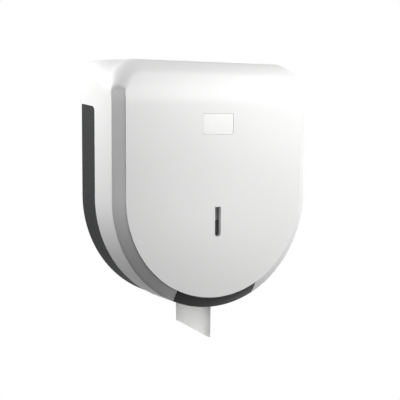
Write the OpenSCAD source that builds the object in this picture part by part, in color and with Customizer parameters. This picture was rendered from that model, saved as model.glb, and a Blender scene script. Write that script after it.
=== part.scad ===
// Jumbo toilet roll dispenser for a wall.
// Origin: on the wall, at the centre of the round bottom and of the four wall screws.
// +X is to the right, +Y goes into the wall, +Z is up. Depths are measured out from the wall.

/* [Cover] */
// Width across the straight sides
cover_w = 324; // [316:1:332]
// Height of the top above the centre of the round bottom
cover_rise = 192; // [188:1:200]
// Thickness of the moulded wall
cover_wall = 3; // [2.4:0.1:3.4]
// Width of the bevelled band, seen from the front
band_w = 16.5; // [14:0.5:18]
// Depth of the bevelled band, front to back
band_d = 12; // [10:0.5:13]
// Height at which the front face turns back into the brow
brow_z = 145; // [140:1:150]
// Angle by which the brow leans back
brow_lean = 17; // [14:1:20]
// Radius of the soft bend from the front face into the brow
bend_r = 100; // [60:5:120]
// Radius of the roll-over from the brow to the top
brow_r = 20; // [16:1:24]
// Corner radius of the top at the brow, seen from the front
brow_corner = 45; // [40:1:50]
// Corner radius of the top at the wall
back_corner = 20; // [16:1:26]
// Play between the cover and the wall
wall_gap = 0.5; // [0.3:0.1:1]

/* [Rear housing] */
// Depth of the rim that shows between the wall and the cover
rim_d = 47; // [44:1:48]
// Thickness of the rim
rim_wall = 3; // [2.5:0.1:3.5]
// Step in from the side of the cover to the rim
rim_step = 2; // [1.5:0.1:2.5]
// Height at which the rim's sides end, at the wall
rim_top = 131; // [124:1:134]
// Drop of the rim's top end towards the front
rim_slope = 5; // [3:1:7]
// Corner radius of the rim's top end
rim_corner = 7; // [5:1:9]
// Gap between the rim and the cover
rim_gap = 0.8; // [0.6:0.1:1.2]
// Thickness of the plate on the wall
plate_t = 3; // [2.6:0.1:3.4]
// Height of the ribs above the plate
rib_h = 3; // [2:0.5:3.5]
// Thickness of the ribs
rib_t = 2.5; // [2:0.5:3.5]

/* [Wall screws] */
// Distance between the screw holes, left to right
screw_dx = 190; // [180:5:200]
// Distance between the screw holes, up and down
screw_dz = 160; // [150:5:170]
// Diameter of a screw hole
screw_d = 5.5; // [4.5:0.5:6.5]
// Diameter of the raised ring round a screw hole
screw_ring_d = 18; // [14:1:20]

/* [Paper exit] */
// Half width of the exit through the rear housing
exit_half = 49; // [44:1:50]
// Half angle of the cutter round the bottom
cutter_half_angle = 27; // [25:0.5:28]
// Gap between the paper and the cutter's edge
cutter_gap = 1; // [0.8:0.1:1.5]
// Thickness of the serrated edge
teeth_t = 1.6; // [1.2:0.2:2]
// Height of the teeth
teeth_h = 2; // [1.4:0.2:2.4]
// Number of teeth
teeth_n = 48; // [36:2:56]
// Distance of the cutter's screws from the middle
cutter_screw_x = 36; // [30:1:40]

/* [Level window] */
// Width of the slot
slot_w = 10; // [8:0.5:12]
// Height of the slot
slot_h = 43; // [38:1:48]
// Height of the slot's top edge
slot_top = -15; // [-20:1:-10]
// Distance from the front face in to the lens
slot_recess = 5.4; // [4.6:0.2:5.6]
// Thickness of the lens
lens_t = 1.5; // [1.2:0.1:1.8]

/* [Badge] */
// Width of the blank badge
badge_w = 51; // [44:1:56]
// Height of the blank badge
badge_h = 30; // [26:1:34]
// Height of the badge's top edge
badge_top = 118; // [114:1:122]
// Depth of the recess for the badge
badge_recess = 1.2; // [0.8:0.1:1.5]

/* [Paper roll] */
// Width of the paper
paper_w = 90; // [86:1:94]
// Room between the paper and the cover's front face
front_room = 15.5; // [15:0.5:17]
// Distance from the wall to the paper
paper_back = 8.5; // [8.5:0.1:9]
// Radius of the paper left on the roll
roll_r = 66; // [50:1:110]
// Radius of the core's bore
core_r = 29; // [27:0.5:31]
// Thickness of the core
core_t = 2; // [1.5:0.5:2.5]
// Height of the roll's axis
axis_z = 30; // [26:1:34]
// Sideways place of the hanging tail
tail_x = -4; // [-8:1:0]
// Height of the tail's lower edge at the back
tail_z = -199; // [-215:1:-185]
// Drop of the tail's lower edge from back to front
tail_drop = 9; // [0:1:12]
// Thickness of the tail
tail_t = 0.6; // [0.4:0.1:1]
// Direction in which the tail leaves the roll, turned on from straight right
tail_angle = 225; // [215:1:235]

/* [Spindle and hub] */
// Radius of the spindle
spindle_r = 9; // [8:0.5:10]
// Radius of the spindle's flange
flange_r = 26; // [24:1:28]
// Thickness of the spindle's flange
flange_t = 3; // [2.6:0.1:3]
// Radius of the circle of spindle screws
flange_screws_r = 18; // [16:0.5:19]
// Thickness of the felt brake washer
felt_t = 0.8; // [0.6:0.1:0.9]
// Thickness of the hub's back flange
hub_flange_t = 1.4; // [1.2:0.1:1.4]
// Radius of the hub's back flange
hub_flange_r = 40; // [34:1:46]
// Thickness of the hub's tube
hub_wall = 3; // [2.5:0.5:4]
// Thickness of the hub's fins
fin_t = 2.4; // [2:0.2:3]
// Number of fins
fin_n = 6; // [4:1:8]
// Length of the hub that the roll hides at the front
hub_setback = 7; // [6:1:12]
// Thickness of the retaining cap
cap_t = 4; // [3:0.5:4.5]
// Radius of the retaining cap
cap_r = 16; // [14:1:18]

/* [Hinge] */
// Distance of the hinge axis behind the front face
hinge_setback = 26; // [25:0.5:28]
// Height of the hinge axis above the lowest point of the cover
hinge_rise = 24; // [23:0.5:25]
// Radius of the hinge pins
pin_r = 2.5; // [2:0.25:3]
// Thickness of the material round a pin
eye_wall = 3.5; // [3:0.25:3.5]
// Distance from the paper exit to an arm
arm_gap = 2; // [1.6:0.1:2.5]
// Thickness of an arm
arm_t = 7; // [6:0.5:7]
// Gap between an arm and the edge of the cover's mouth
mouth_gap = 1; // [0.8:0.1:1.5]
// Step from the edge of the mouth to an ear of the cover
ear_step = 0.5; // [0.3:0.1:1]
// Thickness of a cover ear
ear_t = 6; // [5:0.5:6.5]

/* [Lock] */
// Depth of the lock's axis
lock_depth = 40; // [38:1:44]
// Radius of the lock's body
lock_r = 8; // [7:0.5:9]
// Radius of the lock's face
lock_face_r = 11; // [10:0.5:12]
// Radius of the lock's barrel
barrel_r = 6; // [5:0.25:6.5]
// Length of the lock's body below the top
lock_len = 24; // [22:1:26]
// Length of the cam from the lock's axis
cam_len = 26; // [24:1:27]
// Width of the cam
cam_w = 10; // [8:1:12]
// Thickness of the cam and of the strike
steel_t = 2; // [1.5:0.1:2.5]
// Gap between the locked cam and the strike
cam_play = 1; // [0.6:0.1:1.4]
// Height of the strike
strike_h = 16; // [12:1:20]
// Length of the strike's foot on the rear housing
strike_foot = 22; // [18:1:26]

/* [Clearances] */
// Radial running clearance of pins, spindle and barrel
run_gap = 0.05; // [0.02:0.01:0.08]
// Gap round a piece that is set into the cover
set_gap = 0.2; // [0.15:0.05:0.3]
// Radius of the small fixing screws
fixing_r = 1.6; // [1.4:0.1:1.8]
// Thickness of a fixing screw's head
head_t = 1.8; // [1.4:0.1:2.2]
// Length of a screw in the cutter's bosses
cutter_screw_l = 7; // [6:0.5:8]
// Length of a screw in the lens's bosses
lens_screw_l = 4.5; // [4:0.5:5]

/* [Hidden] */
$fn = 96;

paper_front = paper_back + paper_w;
cover_d = paper_front + front_room;
half_w = cover_w / 2;
face_half_w = half_w - band_w;
band_slant = sqrt(band_w * band_w + band_d * band_d);
cap_z = brow_z - 27;       // where the moulded top starts to round off
band_top = brow_z - 11;    // where the band's full width ends
bend_z = brow_z - bend_r * tan(brow_lean / 2);  // where the front face starts to bend
bend_steps = 6;
shoulder_corner = 40;      // corner radius where the brow meets the sides
shoulder_drop = 12;        // the brow's height lost at the sides' front edge
hull_fn = 40;
slice = 0.5;               // thickness of the thin outlines that the top is hulled from
rim_half = half_w - rim_step;
inner_half = half_w - cover_wall - 0.6;  // rear housing inside the cover's top
inner_rise = cover_rise - cover_wall - 2;
inner_rim_d = 22;
through = 1;               // how far a cut runs past what it cuts

core_out = core_r + core_t;
roll_gap = 0.35;           // air between the roll and the hanging tail
flange_face = plate_t + flange_t;
hub_back = flange_face + felt_t;
hub_front = paper_front - hub_setback;
hub_bore_r = spindle_r + run_gap;
hub_tube_r = hub_bore_r + hub_wall;
fin_r = core_r - 0.2;
cap_gap = 0.4;             // end play of the hub
cap_back = hub_front + cap_gap;

hinge_depth = cover_d - hinge_setback;
hinge_z = hinge_rise - half_w;
eye_r = pin_r + eye_wall;
arm_x = exit_half + arm_gap;
arm_out = arm_x + arm_t;
mouth_half = arm_out + mouth_gap;
ear_x = mouth_half + ear_step;
ear_out = ear_x + ear_t;
swing_half = ear_out + 16.5;  // width of the room that the cover swings back into
swing_step = 1.7;             // and its depth
exit_top = hinge_z + 18;
rib_x = arm_out + 2;
cutter_depth = paper_front + cutter_gap;
pin_head_r = pin_r + 1.5;
pin_head_t = 1.5;
clip_gap = 0.4;
clip_t = 1;

inner_face = cover_d - cover_wall;
lens_front = cover_d - slot_recess;
lens_nib = 1;              // how far the lens stands into the slot
collar_end = lens_front - lens_nib;
lens_back = collar_end - lens_t;
lens_frame_t = 1.5;
frame_back = lens_back - lens_frame_t;
lens_margin = 4;           // the lens's flange beyond the slot
frame_margin = 6.5;
lens_screw_reach = 9.5;    // from an end of the slot to a frame screw

lock_face_t = 2;
lock_seat = cover_rise - lock_face_t;
boss_z = cover_rise - cover_wall - 3;
housing_z = cover_rise - lock_len;
cam_top = housing_z - 1.5;
cam_z = cam_top - steel_t;
drive_w = 6;               // square end of the barrel
strike_depth = lock_depth + cam_w / 2 + cam_play;
strike_x = lock_r + 4;
strike_far = cam_len + 6;
strike_base_x = strike_far + strike_foot;
strike_z = cam_z - strike_h / 2 + 1;
nut_t = 4;
nut_rim = 4.7;             // from the lock's body to a corner of the nut
washer_t = 1;
notch_r = face_half_w + 0.3;  // inner edge of the cutter's place in the band
cutter_half = notch_r * sin(cutter_half_angle);  // its ends are upright
lug_w = 11;
lug_t = 2.5;
lug_r = face_half_w - 14.5;   // radius at which the cutter's screws sit
lug_l = band_w + 8.5;
boss_r = 4;
boss_h = 7;
boss_front = inner_face - boss_h;
cross_w = 0.8;             // recess in a screw's head
cross_l = 4;
cross_d = 1.6;

white = [0.93, 0.93, 0.92];
slate = [0.2, 0.2, 0.21];
smoke = [0.13, 0.13, 0.14];
mid_grey = [0.55, 0.56, 0.57];
steel = [0.72, 0.72, 0.74];
paper = [0.96, 0.95, 0.93];
card = [0.66, 0.53, 0.38];

// Extrudes a front view outwards between two depths from the wall.
module slab(near, far) {
    rotate([90, 0, 0]) translate([0, 0, near]) linear_extrude(far - near) children();
}

// Extrudes a side view, drawn as depth and height, between two places along X.
module side_slab(left, right) {
    translate([right, 0, 0]) rotate([90, 0, -90]) linear_extrude(right - left) children();
}

// A round bar that runs outwards from the wall.
module bar(r, near, far) {
    rotate([90, 0, 0]) translate([0, 0, near]) cylinder(r = r, h = far - near);
}

module both_sides() {
    children();
    mirror([1, 0, 0]) children();
}

// Turns a profile of radius and depth through part of a circle round the bottom.
module round_bottom(half_angle) {
    rotate([90, 0, 0]) rotate([0, 0, 270 - half_angle])
        rotate_extrude(angle = 2 * half_angle, $fn = 180) children();
}

// Rectangle with a flat top edge and a half round lower end, drawn down from its top edge.
module slot_shape(w, h) {
    translate([-w / 2, -(h - w / 2)]) square([w, h - w / 2]);
    translate([0, -(h - w / 2)]) circle(w / 2);
}

// --- The moulded form of the cover, drawn in by t ---

function side_half(t) = half_w - t;
function face_half(t) = face_half_w - t * (band_slant - band_w) / band_d;
function shoulder(t) = cover_d - band_d - t * (band_slant - band_d) / band_w;
function brow_centre() = (cover_d * cos(brow_lean) + brow_z * sin(brow_lean) - brow_r
    - (cover_rise - brow_r) * sin(brow_lean)) / cos(brow_lean);

module band_profile(t, near) {
    polygon([[0, near], [side_half(t), near], [side_half(t), shoulder(t)],
        [face_half(t), cover_d - t], [0, cover_d - t]]);
}

module form_section(t, near) {
    mirror([0, 1]) {
        band_profile(t, near);
        mirror([1, 0]) band_profile(t, near);
    }
}

module form_top(t, near) {
    top_z = cover_rise - t;
    hull($fn = hull_fn) {
        translate([0, 0, cap_z]) linear_extrude(band_top - cap_z) form_section(t, near);
        both_sides() {
            translate([half_w - back_corner, 0, cover_rise - back_corner])
                bar(back_corner - t, near, lock_depth, $fn = hull_fn);
            translate([half_w - brow_corner, -brow_centre(), cover_rise - brow_corner])
                rotate([90, 0, 0]) rotate_extrude($fn = hull_fn)
                    translate([brow_corner - brow_r, 0]) circle(brow_r - t, $fn = hull_fn);
            slab(shoulder(t) - slice, shoulder(t))
                translate([half_w - shoulder_corner, top_z + t - shoulder_drop - shoulder_corner])
                    circle(shoulder_corner - t, $fn = hull_fn);
        }
        // soft bend of the front face, narrowing to meet the corners of the brow
        for (i = [0 : bend_steps]) let (a = brow_lean * i / bend_steps,
            w = face_half(t) - (brow_r - band_w) * i / bend_steps)
            translate([-w, -cover_d + bend_r - (bend_r - t) * cos(a), bend_z + (bend_r - t) * sin(a) - slice])
                cube([2 * w, slice, slice]);
    }
}

module cover_form(t, near) {
    rotate([90, 0, 0]) rotate([0, 0, 180])
        rotate_extrude(angle = 180, $fn = 180) band_profile(t, near);
    linear_extrude(cap_z) form_section(t, near);
    form_top(t, near);
}

// --- Rear housing, with what is fixed to it ---

// Side view of the rim, as depth and height, grown by g all round its top end.
module rim_side(g) {
    front = rim_d + g;
    end_z = rim_top - rim_slope + g;
    polygon(concat(
        [[-through, -half_w - 10], [front, -half_w - 10]],
        [for (a = [0 : 15 : 75]) [front - rim_corner + rim_corner * cos(a),
            end_z - rim_corner + rim_corner * sin(a)]],
        [[front - rim_corner, end_z], [0, rim_top + g], [-through, rim_top + g]]));
}

module round_bottom_outline(half, top) {
    intersection() {
        circle(half, $fn = 180);
        translate([-half, -half]) square([2 * half, half]);
    }
    translate([-half, 0]) square([2 * half, top]);
}

module round_top_outline(half, low, top, corner) {
    translate([-half, low]) square([2 * half, top - corner - low]);
    translate([-half + corner, low]) square([2 * (half - corner), top - low]);
    translate([half - corner, top - corner]) circle(corner);
    translate([-half + corner, top - corner]) circle(corner);
}

module screw_places() {
    for (x = [-1, 1], z = [-1, 1])
        translate([x * screw_dx / 2, 0, z * screw_dz / 2]) children();
}

module spindle_screw_places() {
    for (a = [90, 210, 330])
        translate([flange_screws_r * cos(a), 0, axis_z + flange_screws_r * sin(a)]) children();
}

module strike_screw_places() {
    for (z = [strike_h / 4, strike_h * 3 / 4])
        translate([(strike_far + strike_base_x) / 2, 0, strike_z + z]) children();
}

module hinge_arm() {
    side_slab(arm_x, arm_out) {
        translate([hinge_depth, hinge_z]) circle(eye_r);
        translate([plate_t - 1, hinge_z - eye_r]) square([hinge_depth - plate_t + 1, 2 * eye_r]);
    }
    intersection() {
        translate([arm_x, -rim_d + 1, hinge_z - 12]) cube([arm_t, rim_d - 2, 12]);
        slab(0, rim_d) circle(rim_half - 1, $fn = 180);
    }
}

module back_plate() {
    color(slate) difference() {
        union() {
            // plate, rim and the inner frame that the top of the cover hides
            slab(0, plate_t) {
                round_bottom_outline(rim_half - 1, cap_z);
                round_top_outline(inner_half, 0, inner_rise, back_corner - cover_wall);
            }
            intersection() {
                slab(0, rim_d) difference() {
                    round_bottom_outline(rim_half, rim_top + 10);
                    round_bottom_outline(rim_half - rim_wall, rim_top + 20);
                }
                side_slab(-half_w, half_w) rim_side(0);
            }
            slab(0, inner_rim_d) difference() {
                round_top_outline(inner_half, rim_top + rim_gap + 1, inner_rise, back_corner - cover_wall);
                round_top_outline(inner_half - rim_wall, rim_top - 10, inner_rise - rim_wall,
                    back_corner - cover_wall - rim_wall);
            }
            // stiffening ribs
            for (x = [-1, 1])
                translate([x * rib_x - rib_t / 2, -plate_t - rib_h, exit_top + 10])
                    cube([rib_t, rib_h + 1, inner_rise - exit_top - 60]);
            for (z = [-0.37 * half_w, 0.63 * inner_rise])
                translate([20 - rim_half, -plate_t - rib_h, z - rib_t / 2])
                    cube([2 * (rim_half - 20), rib_h + 1, rib_t]);
            screw_places() bar(screw_ring_d / 2, plate_t - 1, plate_t + rib_h);
            // seat of the strike
            translate([strike_far - 2, -plate_t - rib_h, strike_z - 3])
                cube([strike_base_x - strike_far + 4, rib_h + 1, strike_h + 6]);
            both_sides() hinge_arm();
        }
        // paper exit
        translate([-exit_half, -rim_d - through, -half_w - through])
            cube([2 * exit_half, rim_d + through - plate_t, half_w + through + exit_top]);
        screw_places() bar(screw_d / 2, -through, plate_t + rib_h + through);
        spindle_screw_places() {
            bar(fixing_r + run_gap, -through, plate_t + through);
            rotate([90, 0, 0]) translate([0, 0, -0.01])
                cylinder(r1 = 2 * fixing_r + 0.4, r2 = fixing_r, h = 2.2);
        }
        strike_screw_places() bar(fixing_r + run_gap, 1.5, plate_t + rib_h + through);
        translate([-arm_out - through, -hinge_depth, hinge_z]) rotate([0, 90, 0])
            cylinder(r = pin_r + run_gap, h = 2 * (arm_out + through));
    }
}

module hinge_pins() {
    color(steel) both_sides() translate([0, -hinge_depth, hinge_z]) rotate([0, 90, 0]) {
        translate([0, 0, arm_x - pin_head_t]) cylinder(r = pin_head_r, h = pin_head_t);
        translate([0, 0, arm_x - 0.5]) cylinder(r = pin_r, h = ear_out + 2.2 - arm_x + 0.5);
    }
}

module hinge_clips() {
    color(steel) both_sides() translate([ear_out + clip_gap, -hinge_depth, hinge_z])
        rotate([0, 90, 0]) difference() {
            cylinder(r = pin_r + 1.5, h = clip_t);
            translate([0, 0, -through]) cylinder(r = pin_r + 0.02, h = clip_t + 2 * through);
        }
}

module spindle() {
    color(mid_grey) translate([0, 0, axis_z]) difference() {
        union() {
            bar(flange_r, plate_t, flange_face);
            bar(spindle_r, plate_t + 1, cap_back);
        }
        bar(fixing_r + run_gap, cap_back - 14, cap_back + through);
        translate([0, 0, -axis_z]) spindle_screw_places()
            bar(fixing_r + run_gap, plate_t - through, flange_face + through);
    }
}

module spindle_screws() {
    color(steel) spindle_screw_places() {
        rotate([90, 0, 0]) translate([0, 0, 0.2])
            cylinder(r1 = 2 * fixing_r, r2 = fixing_r, h = 1.7);
        bar(fixing_r, 0.2, flange_face - 0.3);
    }
}

module felt_washer() {
    color([0.35, 0.36, 0.34]) translate([0, 0, axis_z]) difference() {
        bar(flange_r - 4, flange_face, hub_back - 0.1);
        bar(spindle_r + 0.2, flange_face - through, hub_back + through);
    }
}

module retaining_cap() {
    color(mid_grey) translate([0, 0, axis_z]) difference() {
        bar(cap_r, cap_back, cap_back + cap_t);
        bar(fixing_r + run_gap, cap_back - through, cap_back + cap_t + through);
        bar(2 * fixing_r + 0.8, cap_back + cap_t - 2, cap_back + cap_t + through);
    }
}

module cap_screw() {
    color(steel) translate([0, 0, axis_z]) difference() {
        union() {
            bar(fixing_r, cap_back - 12, cap_back + cap_t - 1);
            bar(2 * fixing_r + 0.4, cap_back + cap_t - 2, cap_back + cap_t);
        }
        translate([0, -cap_back - cap_t, 0]) cube([cross_l, cross_d, cross_w], center = true);
        translate([0, -cap_back - cap_t, 0]) cube([cross_w, cross_d, cross_l], center = true);
    }
}

module strike() {
    color(steel) difference() {
        union() {
            translate([strike_x, -strike_depth - steel_t, strike_z])
                cube([strike_far - strike_x, steel_t, strike_h]);
            translate([strike_far - steel_t, -strike_depth - steel_t, strike_z])
                cube([steel_t, strike_depth + steel_t - plate_t - rib_h, strike_h]);
            translate([strike_far - steel_t, -plate_t - rib_h - steel_t, strike_z])
                cube([strike_base_x - strike_far + steel_t, steel_t, strike_h]);
        }
        strike_screw_places()
            bar(fixing_r + run_gap, plate_t + rib_h - through, plate_t + rib_h + steel_t + through);
    }
}

module strike_screws() {
    seat = plate_t + rib_h + steel_t;
    color(steel) strike_screw_places() difference() {
        union() {
            bar(fixing_r, 2, seat + 0.5);
            bar(2 * fixing_r, seat, seat + head_t);
        }
        translate([0, -seat - head_t, 0]) cube([cross_l, cross_d, cross_w], center = true);
    }
}

// The loose end of the paper: it leaves the roll, swings in on one arc and hangs straight down.
module paper_tail() {
    leave_r = roll_r + roll_gap + tail_t / 2;
    leave = [leave_r * cos(tail_angle), axis_z + leave_r * sin(tail_angle)];
    heading = tail_angle + 90 - 270;
    swing_r = (tail_x - leave[0]) / (1 - cos(heading));
    centre = [tail_x - swing_r, leave[1] - swing_r * sin(heading)];
    steps = 12;
    inside = [for (i = [0 : steps]) let (a = heading * (1 - i / steps))
        centre + (swing_r - tail_t / 2) * [cos(a), sin(a)]];
    outside = [for (i = [steps : -1 : 0]) let (a = heading * (1 - i / steps))
        centre + (swing_r + tail_t / 2) * [cos(a), sin(a)]];
    low = tail_z - tail_drop;
    color(paper) difference() {
        slab(paper_back, paper_front) polygon(concat(inside,
            [[tail_x - tail_t / 2, low], [tail_x + tail_t / 2, low]], outside));
        side_slab(tail_x - 5, tail_x + 5) polygon([[paper_back - through, tail_z],
            [paper_back, tail_z], [paper_front + 0.01, low], [paper_front + 0.01, low - 5],
            [paper_back - through, low - 5]]);
    }
}

// --- What turns on the spindle ---

module roll_hub() {
    color(mid_grey) translate([0, 0, axis_z]) difference() {
        union() {
            bar(hub_flange_r, hub_back, hub_back + hub_flange_t);
            bar(hub_tube_r, hub_back, hub_front);
            intersection() {
                bar(fin_r, hub_back, hub_front - 3);
                for (i = [0 : fin_n - 1])
                    rotate([0, i * 360 / fin_n, 0])
                        translate([-fin_t / 2, -hub_front, 0])
                            cube([fin_t, hub_front - hub_back, core_r + 5]);
            }
        }
        bar(hub_bore_r, hub_back - through, hub_front + through);
    }
}

module roll_core() {
    color(card) translate([0, 0, axis_z]) difference() {
        bar(core_out, paper_back, paper_front);
        bar(core_r, paper_back - through, paper_front + through);
    }
}

module paper_roll() {
    color(paper) translate([0, 0, axis_z]) difference() {
        bar(roll_r, paper_back, paper_front, $fn = 180);
        bar(core_out, paper_back - through, paper_front + through);
    }
}

// --- Cover, with what is fixed to it ---

module cover_ear() {
    intersection() {
        side_slab(ear_x, ear_out) {
            translate([hinge_depth, hinge_z]) circle(eye_r);
            translate([hinge_depth - eye_r, hinge_z - 20]) square([2 * eye_r, 20]);
        }
        slab(0, cover_d) circle(half_w - cover_wall / 2, $fn = 180);
    }
}

module cutter_screw_places() {
    drop = sqrt(lug_r * lug_r - cutter_screw_x * cutter_screw_x);
    both_sides() translate([cutter_screw_x, 0, -drop]) children();
}

module lens_screw_places() {
    for (z = [slot_top + lens_screw_reach, slot_top - slot_h - lens_screw_reach])
        translate([0, 0, z]) children();
}

module badge_shape(g) {
    cut = 2;
    w = badge_w / 2 - g;
    top = badge_top - g;
    low = badge_top - badge_h + g;
    polygon([[-w, top], [w, top], [w, low + cut], [w - cut, low], [-w + cut, low], [-w, low + cut]]);
}

module cover() {
    slot_outer = slot_w + 5;
    color(white) difference() {
        union() {
            difference() {
                cover_form(0, wall_gap);
                cover_form(cover_wall, -through);
            }
            // collar of the level slot and bosses behind the face
            slab(collar_end, inner_face + 1) translate([0, slot_top + 2.5])
                slot_shape(slot_outer, slot_h + 5);
            lens_screw_places() bar(boss_r, lens_back, inner_face + 1);
            cutter_screw_places() bar(boss_r, boss_front, inner_face + 1);
            // seat of the lock under the top
            translate([0, -lock_depth, boss_z])
                cylinder(r = lock_face_r + 4, h = cover_rise - boss_z - 1);
            both_sides() cover_ear();
        }
        // the rim shows below and behind this
        side_slab(-half_w - 10, half_w + 10) rim_side(rim_gap);
        // room for the swing beside the hinge
        translate([-swing_half, -rim_d - rim_gap - swing_step, -half_w - through])
            cube([2 * swing_half, rim_d, hinge_rise + through + 26]);
        // paper mouth and the place of the cutter
        translate([-mouth_half, -cutter_depth + 0.6, -half_w - through])
            cube([2 * mouth_half, cutter_depth - rim_d, hinge_rise + through]);
        intersection() {
            round_bottom(cutter_half_angle + 0.5) translate([notch_r, cutter_depth - 0.6])
                square([band_w + 5, cover_d - cutter_depth + 5]);
            side_slab(-cutter_half - set_gap, cutter_half + set_gap) cutter_side();
        }
        // level slot, badge and lock
        slab(collar_end - through, cover_d + through) translate([0, slot_top])
            slot_shape(slot_w, slot_h);
        slab(cover_d - badge_recess, cover_d + through) badge_shape(0);
        translate([0, -lock_depth, boss_z - through])
            cylinder(r = lock_r + set_gap, h = cover_rise - boss_z + 2 * through);
        translate([0, -lock_depth, lock_seat]) cylinder(r = lock_face_r + set_gap, h = 5);
        lens_screw_places() bar(fixing_r + run_gap, lens_back - through, inner_face - 0.5);
        cutter_screw_places() bar(fixing_r + run_gap, boss_front - through, inner_face - 0.5);
        translate([-ear_out - through, -hinge_depth, hinge_z]) rotate([0, 90, 0])
            cylinder(r = pin_r + run_gap, h = 2 * (ear_out + through));
    }
}

// Side view of the room within which the cutter's two ends are cut upright.
module cutter_side() {
    translate([cutter_depth - 2, -half_w - 10]) square([cover_d - cutter_depth + 12, half_w - 90]);
}

module cutter() {
    near = notch_r + set_gap;
    valley = half_w - 1.6;
    step = 2 * cutter_half_angle / teeth_n;
    color(smoke) difference() {
        union() {
            intersection() {
                side_slab(-cutter_half, cutter_half) cutter_side();
                union() {
                    round_bottom(cutter_half_angle) polygon([[near, cover_d - 7],
                        [near, cover_d - 0.1], [half_w, cover_d - band_d],
                        [half_w, cutter_depth + teeth_t - 0.1],
                        [half_w - 4, cutter_depth + teeth_t - 0.1]]);
                    // serrated edge
                    slab(cutter_depth, cutter_depth + teeth_t) polygon(concat(
                        [for (i = [0 : teeth_n]) let (a = 270 - cutter_half_angle + i * step)
                            (valley - 8) * [cos(a), sin(a)]],
                        [for (i = [teeth_n : -1 : 1])
                            let (a = 270 - cutter_half_angle + i * step)
                            each [valley * [cos(a), sin(a)],
                                (valley + teeth_h) * [cos(a - step / 2), sin(a - step / 2)]]],
                        [valley * [cos(270 - cutter_half_angle),
                            sin(270 - cutter_half_angle)]]));
                }
            }
            // lugs that the screws hold
            cutter_screw_places() {
                bar(lug_w / 2, boss_front - lug_t, boss_front);
                translate([-lug_w / 2, -boss_front, -lug_l]) cube([lug_w, lug_t, lug_l]);
            }
        }
        cutter_screw_places() bar(fixing_r + run_gap, boss_front - lug_t - through, boss_front + through);
    }
}

// Pan-head screw driven from inside, with its head's seat at the given depth.
module fixing_screw(seat, reach) {
    difference() {
        union() {
            bar(2 * fixing_r, seat - head_t, seat);
            bar(fixing_r, seat - head_t / 2, seat + reach);
        }
        translate([0, -seat + head_t, 0]) cube([cross_l, cross_d, cross_w], center = true);
        translate([0, -seat + head_t, 0]) cube([cross_w, cross_d, cross_l], center = true);
    }
}

module cutter_screws() {
    color(steel) cutter_screw_places() fixing_screw(boss_front - lug_t, cutter_screw_l);
}

module level_lens() {
    color([0.2, 0.21, 0.22, 0.5]) {
        slab(lens_back, collar_end) translate([0, slot_top + lens_margin])
            slot_shape(slot_w + 2 * lens_margin, slot_h + 2 * lens_margin);
        slab(collar_end - 0.3, lens_front) translate([0, slot_top - set_gap])
            slot_shape(slot_w - 2 * set_gap, slot_h - 2 * set_gap);
    }
}

module lens_frame() {
    color(mid_grey) difference() {
        slab(frame_back, lens_back) {
            translate([-slot_w / 2 - frame_margin, slot_top - slot_h - 5])
                square([slot_w + 2 * frame_margin, slot_h + 10]);
            translate([-5, slot_top - slot_h - lens_screw_reach - 4.5])
                square([10, slot_h + 2 * lens_screw_reach + 9]);
        }
        slab(frame_back - through, lens_back + through) translate([0, slot_top])
            slot_shape(slot_w, slot_h);
        lens_screw_places() bar(fixing_r + run_gap, frame_back - through, lens_back + through);
    }
}

module lens_screws() {
    color(steel) lens_screw_places() fixing_screw(frame_back, lens_screw_l);
}

module badge_plate() {
    color(white) slab(cover_d - badge_recess, cover_d - 0.3) badge_shape(set_gap);
}

module lock_housing() {
    color(steel) translate([0, -lock_depth, 0]) difference() {
        union() {
            translate([0, 0, lock_seat]) cylinder(r = lock_face_r, h = lock_face_t);
            translate([0, 0, housing_z]) cylinder(r = lock_r, h = lock_len - 1);
        }
        translate([0, 0, housing_z - through])
            cylinder(r = barrel_r + run_gap, h = lock_len + 2 * through);
    }
}

module lock_washer() {
    color(steel) translate([0, -lock_depth, boss_z - washer_t]) difference() {
        cylinder(r = lock_face_r + 1, h = washer_t);
        translate([0, 0, -through]) cylinder(r = lock_r + 0.1, h = washer_t + 2 * through);
    }
}

module lock_nut() {
    color(steel) translate([0, -lock_depth, boss_z - washer_t - nut_t]) difference() {
        cylinder(r = lock_r + nut_rim, h = nut_t, $fn = 6);
        translate([0, 0, -through]) cylinder(r = lock_r + 0.05, h = nut_t + 2 * through);
    }
}

module lock_barrel() {
    color(steel) translate([0, -lock_depth, 0]) difference() {
        union() {
            translate([0, 0, cam_top]) cylinder(r = barrel_r, h = cover_rise - 0.4 - cam_top);
            translate([-drive_w / 2, -drive_w / 2, cam_z]) cube([drive_w, drive_w, steel_t + 1]);
        }
        translate([-0.7, -3.6, cover_rise - 12]) cube([1.4, 7.2, 13]);
        translate([0, 0, cam_z - through]) cylinder(r = fixing_r + run_gap, h = 12);
    }
}

module lock_cam() {
    color(steel) translate([0, -lock_depth, cam_z]) difference() {
        union() {
            cylinder(r = cam_w / 2 + 1.5, h = steel_t);
            translate([-cam_w / 2, 0, 0]) cube([cam_w, cam_len, steel_t]);
        }
        translate([-drive_w / 2 - 0.05, -drive_w / 2 - 0.05, -through])
            cube([drive_w + 0.1, drive_w + 0.1, steel_t + 2 * through]);
    }
}

module cam_screw() {
    color(steel) translate([0, -lock_depth, cam_z - 2.5]) difference() {
        union() {
            cylinder(r = drive_w / 2 + 1.8, h = 2.5);
            cylinder(r = fixing_r, h = 12);
        }
        translate([-cross_l / 2, -cross_w / 2, -through]) cube([cross_l, cross_w, cross_d + 0.2]);
    }
}

back_plate();
hinge_pins();
hinge_clips();
spindle();
spindle_screws();
felt_washer();
retaining_cap();
cap_screw();
strike();
strike_screws();
paper_tail();
roll_hub();
roll_core();
paper_roll();
cover();
cutter();
cutter_screws();
level_lens();
lens_frame();
lens_screws();
badge_plate();
lock_housing();
lock_washer();
lock_nut();
lock_barrel();
lock_cam();
cam_screw();
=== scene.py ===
import math
import bpy
import bmesh
from mathutils import Matrix, Vector


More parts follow.
